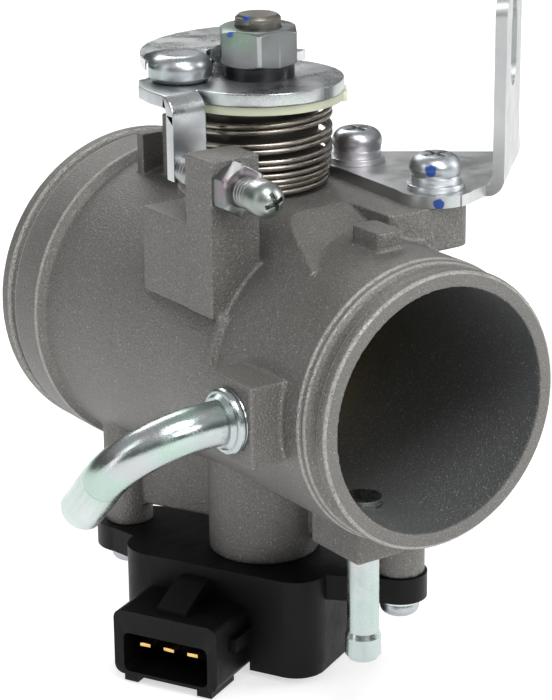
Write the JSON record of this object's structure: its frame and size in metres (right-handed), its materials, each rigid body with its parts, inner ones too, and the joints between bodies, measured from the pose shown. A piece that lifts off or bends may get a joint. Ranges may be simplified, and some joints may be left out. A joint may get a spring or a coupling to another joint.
{
  "type": "throttle body",
  "caption": "Cable-operated throttle body: aluminium bore casting with butterfly plate, return springs, lever stack, adjustable idle stop, cable bracket, air pipes and position sensor.",
  "frame": {"origin": "on the bore axis, in the middle of the cylindrical lip at the outlet (engine) end", "axes": "+Y along the bore from the outlet to the inlet; +Z along the throttle shaft towards the lever and nut; +X to the side that carries the cable bracket"},
  "size_m": [0.0985, 0.0958, 0.1234],
  "materials": {
    "casting": "as cast, fine sand texture, matt",
    "shaft_steel": "ground",
    "plate_brass": "turned edge, rolled faces",
    "zinc_steel": "bright zinc plated",
    "zinc_sheet": "pressed sheet, bright zinc plated",
    "zinc_tube": "drawn tube, bright zinc plated",
    "bearing_steel": "ground",
    "black_steel": "black oxide",
    "spring_steel": "drawn wire",
    "nylon": "natural nylon, moulded",
    "black_rubber": "moulded",
    "black_plastic": "moulded, fine texture",
    "board_green": "coated laminate",
    "gold_terminal": "gold flashed"
  },
  "bodies": {
    "casting": {"housing": "casting", "upper_bearing": "bearing_steel", "lower_bearing": "bearing_steel", "upper_shaft_seal": "black_rubber", "lower_shaft_seal": "black_rubber", "lower_spring_bush": "nylon", "return_spring_main": "spring_steel", "return_spring_second": "spring_steel", "idle_stop_locknut": "zinc_steel", "cable_bracket": "zinc_sheet", "bracket_screws": "zinc_steel", "bracket_spring_washers": "zinc_steel", "bracket_flat_washers": "zinc_steel", "air_pipe": "zinc_tube", "vacuum_nipple": "zinc_tube", "sensor_housing": "black_plastic", "sensor_cover": "black_plastic", "sensor_track_board": "board_green", "sensor_terminals": "gold_terminal", "sensor_seal": "black_rubber", "sensor_screws": "zinc_steel", "sensor_washers": "zinc_steel"},
    "throttle": {"throttle_shaft": "shaft_steel", "throttle_plate": "plate_brass", "plate_screws": "zinc_steel", "shaft_retaining_ring": "black_steel", "upper_spring_bush": "nylon", "throttle_lever": "zinc_sheet", "cable_guard": "zinc_sheet", "lever_lock_washer": "black_steel", "lever_nut": "zinc_steel", "sensor_rotor": "nylon"},
    "swivel_pin": {"cable_pin": "zinc_steel"},
    "stop_screw": {"idle_stop_screw": "zinc_steel"}
  },
  "joints": [
    {"name": "throttle_opening", "type": "hinge", "parent": "casting", "child": "throttle", "pos_m": [0, 0.0509, 0], "axis": [0, 0, -1], "range_deg": [0, 80], "stiffness_Nm_per_rad": 0.12, "springref_deg": -91.67, "deforming": ["return_spring_main", "return_spring_second"]},
    {"name": "cable_pin_swivel", "type": "hinge", "parent": "throttle", "child": "swivel_pin", "pos_m": [-0.0132, 0.0555, 0.045], "axis": [0, 0, 1], "continuous": true},
    {"name": "idle_stop_adjust", "type": "slide", "parent": "casting", "child": "stop_screw", "axis": [0, -1, 0], "range_m": [0, 0.003]}
  ]
}
